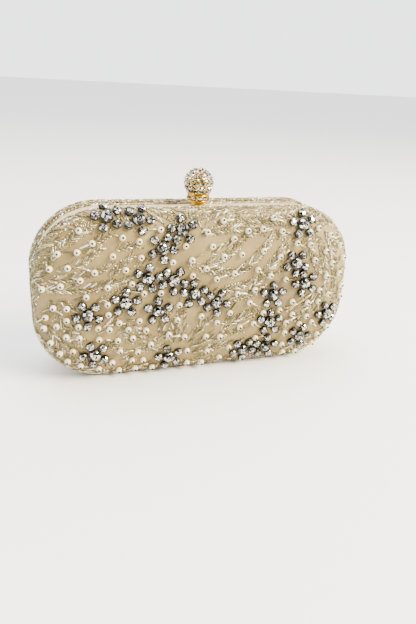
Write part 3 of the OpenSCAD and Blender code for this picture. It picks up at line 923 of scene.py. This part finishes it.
# The sprays on the face: where each starts, the point it bends by, where it ends and how long
# its barbs are, in millimetres
SPRAYS = [
    ((-88, 56), (-62, 55), (-45, 60), 4.2), ((-47, 59), (-38, 66), (-30, 72), 3.6),
    ((-80, 66), (-70, 68), (-62, 73), 3.4), ((-72, 73), (-64, 74), (-58, 77), 3.0),
    ((-66, 79), (-60, 80), (-53, 84), 3.2), ((-84, 50), (-78, 34), (-66, 24), 4.4),
    ((-84, 44), (-76, 28), (-64, 20), 3.8), ((-74, 25), (-66, 16), (-56, 10), 3.6),
    ((-50, 36), (-44, 31), (-36, 30), 3.4), ((-50, 31), (-42, 28), (-34, 26), 3.2),
    ((-47, 26), (-38, 22), (-26, 24), 3.4), ((-40, 18), (-30, 17), (-22, 19), 3.2),
    ((-22, 22), (-27, 30), (-22, 38), 3.2), ((-18, 20), (-20, 32), (-12, 42), 3.6),
    ((-14, 20), (-12, 30), (-13, 44), 3.4), ((-10, 19), (-4, 28), (4, 34), 3.6),
    ((-8, 16), (4, 22), (22, 24), 3.8), ((-6, 12), (8, 15), (30, 18), 3.6),
    ((10, 26), (20, 33), (34, 38), 3.8), ((12, 31), (22, 36), (33, 33), 3.2),
    ((-4, 66), (10, 67), (22, 80), 4.2), ((2, 72), (14, 76), (26, 82), 3.6),
    ((12, 58), (28, 64), (38, 80), 4.4), ((26, 50), (38, 60), (46, 76), 4.2),
    ((-4, 83), (14, 86), (32, 84), 3.8), ((10, 90), (30, 91), (48, 86), 3.6),
    ((22, 86), (38, 82), (50, 78), 3.8), ((36, 90), (48, 92), (60, 92), 3.2),
    ((44, 58), (48, 66), (47, 76), 3.0), ((62, 74), (66, 66), (70, 58), 3.6),
    ((66, 80), (74, 68), (76, 52), 3.8), ((72, 82), (82, 68), (82, 46), 3.8),
    ((70, 48), (64, 38), (52, 36), 3.8), ((72, 46), (68, 34), (56, 28), 3.6),
    ((76, 50), (76, 42), (72, 34), 3.2), ((56, 74), (60, 78), (68, 84), 3.0),
    ((-76, 78), (-66, 86), (-56, 92), 3.6), ((-84, 66), (-80, 76), (-70, 84), 3.6),
    ((-54, 60), (-50, 66), (-42, 72), 3.2), ((-50, 76), (-44, 78), (-38, 78), 3.0),
    ((46, 20), (52, 26), (56, 30), 3.0), ((-56, 26), (-50, 20), (-42, 12), 3.2),
    ((-86, 36), (-82, 24), (-70, 12), 3.8), ((-80, 50), (-72, 46), (-70, 34), 3.6),
    ((-84, 61), (-70, 61), (-52, 68), 3.6), ((-60, 49), (-54, 50), (-47, 54), 3.0),
    ((-12, 68), (4, 60), (20, 62), 3.6), ((2, 50), (16, 50), (30, 56), 3.6),
    ((14, 44), (24, 46), (34, 50), 3.4), ((-60, 32), (-54, 33), (-50, 40), 3.2),
]
Embroidery = namedtuple("Embroidery", "half chart beads taken draw")


def face_chart(half):
    """Seats on the face by [x, z] in millimetres."""
    return lambda p: on_face(half, p.x * MM, p.y * MM)


rim_line = outline(24, 24)
rim_lengths = [0.0]
for (here, _), (there, _) in zip(rim_line, rim_line[1:] + rim_line[:1]):
    rim_lengths.append(rim_lengths[-1] + (there - here).length)
RIM_LENGTH_MM = rim_lengths[-1] / MM
edge_section = [Vector(row) for row in edge_rows(range(20, 90, 5), range(0, 91, 3))]
edge_lengths = [0.0]
for here, there in zip(edge_section, edge_section[1:]):
    edge_lengths.append(edge_lengths[-1] + (there - here).length)


def along_line(lengths, distance):
    """The segment of a line that a distance falls in, and the share of it passed."""
    i = max(k for k in range(len(lengths) - 1) if k == 0 or lengths[k] <= distance)
    return i, (distance - lengths[i]) / (lengths[i + 1] - lengths[i])


def rim_chart(half):
    """Seats on the puff and the rounded edge by [distance round, distance in]."""
    side = SIDES[half]

    def chart(p):
        i, share = along_line(rim_lengths, (p.x * MM) % rim_lengths[-1])
        after = rim_line[(i + 1) % len(rim_line)]
        spot = rim_line[i][0].lerp(after[0], share)
        out = rim_line[i][1].lerp(after[1], share).normalized()
        k, part = along_line(edge_lengths, p.y * MM)
        grow, depth = edge_section[k].lerp(edge_section[k + 1], part)
        run = edge_section[k + 1] - edge_section[k]
        point = Vector((spot.x + out.x * grow, side * depth, MID_Z + spot.y + out.y * grow))
        up = Vector((out.x * run.y, -side * run.x, out.y * run.y)).normalized()
        return seat(half, point, up)
    return chart


def sew(work, shape, middle, heading, radius, spray):
    """Sews one bead where it has room and crosses no bead of another spray."""
    half, chart, beads, taken, _ = work
    found = chart(middle)
    ahead = chart(middle + heading * 0.6)
    if found is None or ahead is None:
        return
    point, up = found
    if point.z < 1.5 * MM or not clear_of_stones(half, point, 1.1 * MM):
        return
    if (abs(point.x) < CLASP_ROOM.x and abs(point.y) < CLASP_ROOM.y
            and point.z > frame_high.z - CLASP_ROOM.z):
        return
    _, _, distance = near_pearl[half].find(point)
    if distance < PEARL_R * 0.9:
        return
    along = ahead[0] - point
    if along.length < 0.05 * MM:
        return
    along.normalize()
    ends = shape[0][0].length
    places = [point + along * ends * share for share in (-0.8, 0, 0.8)]
    cells = [tuple(round(part / BEAD_ROOM) for part in place) for place in places]
    if any(taken.get(cell, spray) != spray for cell in cells):
        return
    taken.update((cell, spray) for cell in cells)
    beads.append((shape, stand(point + up * radius * 0.75, along, up)))


def sew_spray(work, start, bend, end, reach):
    """Sews the barbs of one spray on both sides of its line."""
    start, bend, end = Vector(start), Vector(bend), Vector(end)
    length = (bend - start).length + (end - bend).length
    spray = len(work.beads)
    count = max(3, round(length / BARB_STEP))
    for i in range(count + 1):
        t = i / count
        spot = (1 - t) ** 2 * start + 2 * t * (1 - t) * bend + t * t * end
        heading = ((1 - t) * (bend - start) + t * (end - bend)).normalized()
        barb = 1.25 * reach * (0.6 + 0.4 * math.sin(math.pi * min(1, t + 0.15)))
        for hand in (-1, 1):
            slant = hand * BARB_SLANT * work.draw.uniform(0.9, 1.1)
            way = Vector((heading.x * math.cos(slant) - heading.y * math.sin(slant),
                          heading.x * math.sin(slant) + heading.y * math.cos(slant)))
            size = min(range(len(BUGLES)), key=lambda k: abs(BUGLE_LENGTHS[k] + 0.6 - barb))
            tip = BARB_START + BUGLE_LENGTHS[size]
            sew(work, BUGLES[size], spot + way * (BARB_START + tip) / 2, way, BUGLE_R, spray)
            sew(work, SEED, spot + way * (tip + 0.45), way, SEED_R, spray)


near_pearl = {}
for half, spots in pearl_spots.items():
    near_pearl[half] = kdtree.KDTree(len(spots))
    for index, spot in enumerate(spots):
        near_pearl[half].insert(spot, index)
    near_pearl[half].balance()

for half in SIDES:
    face = Embroidery(half, face_chart(half), list(stalks[half]), {}, random.Random(31))
    for spray in SPRAYS:
        sew_spray(face, *spray)
    rim = face._replace(chart=rim_chart(half))
    for across in BRAIDS_ACROSS:
        for part in range(BRAID_PARTS):
            start, middle, end = (
                RIM_LENGTH_MM * (part + share) / BRAID_PARTS for share in (0, 0.5, 1))
            sew_spray(rim, (start, across), (middle, across), (end, across), 2.2)
    run = 0.0
    while run < RIM_LENGTH_MM:
        lean = 1 if math.sin(2 * math.pi * run / RIM_LENGTH_MM * 2) > 0 else -1
        lean *= rim.draw.uniform(0.8, 1.2)
        depth = rim.draw.uniform(*RIM_SPRAY_END)
        bend = RIM_SPRAY_START + 0.3 * (depth - RIM_SPRAY_START)
        sew_spray(rim, (run, RIM_SPRAY_START), (run + 9 * lean, bend),
                  (run + 16 * lean, depth), 3.4)
        run += RIM_SPRAY_STEP
    sprays = spread(f"{half}_bead_sprays", rim.beads, lined_glass)
    fix_to(sprays, f"{half}_half", "beaded_fabric")


# ---- Hinges ----
# Two small plated steel hinges lie in the valley under the case, riveted to the frame's
# bands. They keep their CAD shape, with their edges broken.

def break_edges(name, width):
    """Rounds the sharp edges of a CAD node a little, as tumbling does."""
    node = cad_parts[name]
    node.modifiers.new("weld", "WELD").merge_threshold = 0.002 * MM
    set_values(node.modifiers.new("edges", "BEVEL"), width=width, segments=2,
               limit_method="ANGLE", angle_limit=math.radians(40), harden_normals=False)


# Nickel-plated steel, barrel polished: bright, cool, with fine handling marks
nickel_steel, tree, shader = new_material("nickel_plated_steel_barrelled")
set_sockets(tree, shader, {
    "Base Color": hex_colour("#C9C6BE"), "Metallic": 1.0,
    "Roughness": between(tree, noise_of(tree, 1.2 * MM, 3.0), 0.18, 0.38)})

for hand in ("left", "right"):
    for half in SIDES:
        finish_node(f"hinge_leaf_{half}_{hand}", gold_steel)
        break_edges(f"hinge_leaf_{half}_{hand}", 0.08 * MM)
    finish_node(f"hinge_pin_{hand}", nickel_steel)
for half in SIDES:
    finish_node(f"hinge_rivets_{half}", gold_steel)
    break_edges(f"hinge_rivets_{half}", 0.1 * MM)


# ---- Latch ----
# Inside the top edge the clasp's lever turns on a pin in a steel bracket. A torsion spring
# holds its nose behind the lip of a spring steel leaf on the front frame.

# Blued spring steel: dark blue-grey with a straw tint in the clouds
blued_steel, tree, shader = new_material("spring_steel_blued")
tint = on_ramp(tree, noise_of(tree, 3 * MM), [(0.3, "#4A5260"), (0.7, "#8A8478")])
set_sockets(tree, shader, {"Base Color": tint, "Metallic": 1.0, "Roughness": 0.32})

for name in ("latch_bracket", "latch_pin", "latch_rivets", "catch_rivets", "clasp_lever"):
    finish_node(name, nickel_steel)
    break_edges(name, 0.08 * MM)
finish_node("catch_leaf", blued_steel)


def wire(points, radius, sides=8):
    """A round wire bent along points, with closed ends."""
    corners = []
    across = (points[1] - points[0]).orthogonal().normalized()
    for i, point in enumerate(points):
        run = (points[min(i + 1, len(points) - 1)] - points[max(i - 1, 0)]).normalized()
        across = (across - run * across.dot(run)).normalized()
        above = run.cross(across)
        for k in range(sides):
            angle = 2 * math.pi * k / sides
            corners.append(point + radius * (math.cos(angle) * across + math.sin(angle) * above))
    faces = band_faces(len(points), sides, closed=False)
    faces.append(tuple(range(sides)))
    faces.append(tuple(range(len(corners) - sides, len(corners))))
    return corners, faces


# The spring's coil and its short leg stay on the bracket; its long arm presses on the lever
# and turns with it, about the same pin
pin_low, pin_high = box_of("latch_pin")
spring_low, spring_high = box_of("latch_spring")
PIN_Y = (pin_low.y + pin_high.y) / 2
PIN_Z = (pin_low.z + pin_high.z) / 2
WIRE_R = 0.17 * MM
COIL_R = 1.25 * MM
COIL_X = 2.45 * MM
COIL_PITCH = 0.36 * MM
COIL_START = 0.14
COIL_END = -1.75
ARM_GAP = 0.02


def coil_point(turns):
    """A point on the coil, turns from its top towards the front."""
    angle = 2 * math.pi * turns
    return Vector((COIL_X + COIL_PITCH * (COIL_START - turns),
                   PIN_Y - COIL_R * math.sin(angle), PIN_Z + COIL_R * math.cos(angle)))


arm_end = spring_low.y + WIRE_R
arm_z = PIN_Z + WIRE_R + 0.06 * MM
arm_line = [coil_point(COIL_START + ARM_GAP)]
arm_line += [Vector((COIL_X, PIN_Y - 1.28 * MM, arm_z + 0.12 * MM)),
             Vector((COIL_X, PIN_Y - 1.6 * MM, arm_z)),
             Vector((COIL_X, arm_end + 0.3 * MM, arm_z)),
             Vector((COIL_X - 0.1 * MM, arm_end + 0.1 * MM, arm_z)),
             Vector((COIL_X - 0.3 * MM, arm_end, arm_z)),
             Vector((0.8 * MM, arm_end, arm_z))]
COIL_STEPS = 60
coil_line = [coil_point(COIL_START + (COIL_END - COIL_START) * k / COIL_STEPS)
             for k in range(COIL_STEPS + 1)]
leg_foot = coil_line[-1]
coil_line.append(Vector((leg_foot.x, leg_foot.y, spring_high.z)))
spring_arm = new_piece("latch_spring_arm", *wire(arm_line, WIRE_R), blued_steel)
fix_to(spring_arm, "clasp", "spring_steel")
spring_coil = new_piece("latch_spring_coil", *wire(coil_line, WIRE_R), blued_steel)
fix_to(spring_coil, "back_half", "spring_steel", "latch_spring")


# ---- Clasp ----
# A cast brass ball paved with clear stones sits in a cup, on a collar that has a row of larger
# stones and stands on a short neck. All are soldered on the stem and plated yellow gold.

# Yellow gold plating on cast brass, mirror polished: saturated, with sharp dark reflections
gold_brass, tree, shader = new_material("gold_plated_brass_polished")
cloud = noise_of(tree, 4 * MM)
set_sockets(tree, shader, {
    "Base Color": on_ramp(tree, cloud, [(0.3, "#BE9422"), (0.7, "#DDB748")]),
    "Metallic": 1.0, "Roughness": between(tree, cloud, 0.1, 0.22)})

# Cut glass on gold: each facet gets a painted reflection, black to white at random, with painted
# yellow and brown ones for the gold metal behind the stones
gold_backed_glass, tree, shader = new_material("cut_glass_gold_backed_painted_glints")
tone_with_painted_glints = painted_glint_tones(tree, [(0.0, "#050403"), (0.33, "#1D1710"), (0.48, "#5E4E2C"),
                          (0.62, "#B3A275"), (0.78, "#ECE8DC"), (1.0, "#FFFFFF")])
set_sockets(tree, shader, {
    "Base Color": tone_with_painted_glints, "Metallic": 0.8, "Roughness": 0.08, "IOR": 1.62})

finish_node("clasp_stem", gold_brass)
finish_node("strike_plate", gold_brass)
break_edges("strike_plate", 0.12 * MM)

collar_low, collar_high = box_of("clasp_collar")
ball_high = box_of("clasp_ball")[1]
cup_low, cup_high = box_of("clasp_cup")
NECK_R = 4.2 * MM
NECK_H = 1.8 * MM
COLLAR_R = collar_high.x
COLLAR_FOOT = collar_low.z + NECK_H
COLLAR_H = collar_high.z - COLLAR_FOOT
BALL_R = ball_high.x
BALL_Z = ball_high.z - BALL_R
CUP_R = cup_high.x
BORE_R = box_of("clasp_stem")[1].x + 0.02 * MM


def turned_piece(name, node, profile, base_z, roll, steps=72):
    """A turned ring of the clasp, from a closed [radius, z] profile, for a CAD node."""
    profile = rolled(profile, roll)
    corners = sum((circle(radius, base_z + z, steps) for radius, z in profile), [])
    piece = new_piece(name, corners, band_faces(len(profile), steps, closed=True), gold_brass)
    even_shading(piece)
    fix_to(piece, "clasp", "clasp_metal", node)


STONE_BED = COLLAR_R - 0.9 * MM
RIM_H = 0.95 * MM
turned_piece("clasp_collar_ring", "clasp_collar", [
    (BORE_R, -NECK_H), (NECK_R, -NECK_H), (NECK_R, 0),
    (COLLAR_R - 0.5 * MM, 0), (COLLAR_R, 0.3 * MM), (COLLAR_R, RIM_H),
    (STONE_BED, RIM_H + 0.1 * MM), (STONE_BED, COLLAR_H - 0.7 * MM),
    (COLLAR_R - 0.3 * MM, COLLAR_H - 0.6 * MM), (COLLAR_R - 0.3 * MM, COLLAR_H - 0.1 * MM),
    (CUP_R - 0.5 * MM, COLLAR_H), (BORE_R, COLLAR_H)], COLLAR_FOOT, 0.25 * MM)

turned_piece("clasp_ball_cup", "clasp_cup", [
    (CUP_R - 1.1 * MM, 0), (CUP_R - 0.6 * MM, 0), (CUP_R - 0.3 * MM, 0.7 * MM),
    (CUP_R + 0.1 * MM, 1.5 * MM), (CUP_R - 0.2 * MM, 1.6 * MM), (CUP_R - 0.9 * MM, 0.7 * MM)],
    cup_low.z, 0.12 * MM)

COLLAR_STONES = 11
collar_stone = moved(faceted_stone(1.05 * MM, 0.9 * MM, sides=6),
                     Matrix.Diagonal((1, 1.45, 1, 1)))
stone_z = COLLAR_FOOT + (RIM_H + COLLAR_H - 0.6 * MM) / 2
placed, posts = [], []
post = bead(0.22 * MM, 2.2 * MM)
for i in range(COLLAR_STONES):
    for shapes, shape, turn, radius in (
            (placed, collar_stone, i, STONE_BED - 0.1 * MM),
            (posts, post, i + 0.5, STONE_BED + 0.35 * MM)):
        angle = 2 * math.pi * turn / COLLAR_STONES
        out = Vector((math.cos(angle), math.sin(angle), 0))
        along = Vector((0, 0, 1))
        shapes.append((shape, stand(Vector((0, 0, stone_z)) + out * radius, along, out)))
row = spread("collar_cut_stones", placed, gold_backed_glass, smooth=False, seed=8,
             by_facet=True)
fix_to(row, "clasp", "clear_stone", "collar_stones")
post_row = spread("collar_stone_posts", posts, gold_brass)
fix_to(post_row, "clasp", "clasp_metal")

# The ball itself: yellow gold shows between the paved stones
PAVE_R = 1.12 * MM
PAVE_STEP = 2.5 * MM
ball_core = new_piece("clasp_ball_core", *moved(
    ball_shape(BALL_R - 0.55 * MM, 48, 32), Matrix.Translation((0, 0, BALL_Z))), gold_brass)
fix_to(ball_core, "clasp", "clasp_metal", "clasp_ball")

pave_stone = faceted_stone(PAVE_R, 0.95 * MM, sides=6)
grain_shape = ball_shape(0.3 * MM, 6, 5)
paved, grains = [], []
rows = round(math.pi * BALL_R / PAVE_STEP)
for row_index in range(rows + 1):
    tilt = math.pi * (0.5 - row_index / rows)
    if tilt < math.radians(-44):
        break
    count = max(1, round(2 * math.pi * BALL_R * math.cos(tilt) / PAVE_STEP))
    for i in range(count):
        for shapes, shape, shift, tip, lift in (
                (paved, pave_stone, 0.0, 0.0, -0.5 * MM),
                (grains, grain_shape, 0.5, 0.5, -0.15 * MM)):
            angle = 2 * math.pi * (i + shift + 0.5 * (row_index % 2)) / count
            rise = tilt - tip * math.pi / rows * 0.55
            out = Vector((math.cos(rise) * math.cos(angle), math.cos(rise) * math.sin(angle),
                          math.sin(rise)))
            side_way = Vector((-math.sin(angle), math.cos(angle), 0))
            centre = Vector((0, 0, BALL_Z)) + out * (BALL_R + lift)
            shapes.append((shape, stand(centre, side_way, out)))
pave = spread("ball_cut_stones", paved, gold_backed_glass, smooth=False, seed=13,
              by_facet=True)
fix_to(pave, "clasp", "clear_stone", "ball_stones")
grain_dots = spread("ball_stone_grains", grains, gold_steel)
fix_to(grain_dots, "clasp", "clasp_metal")
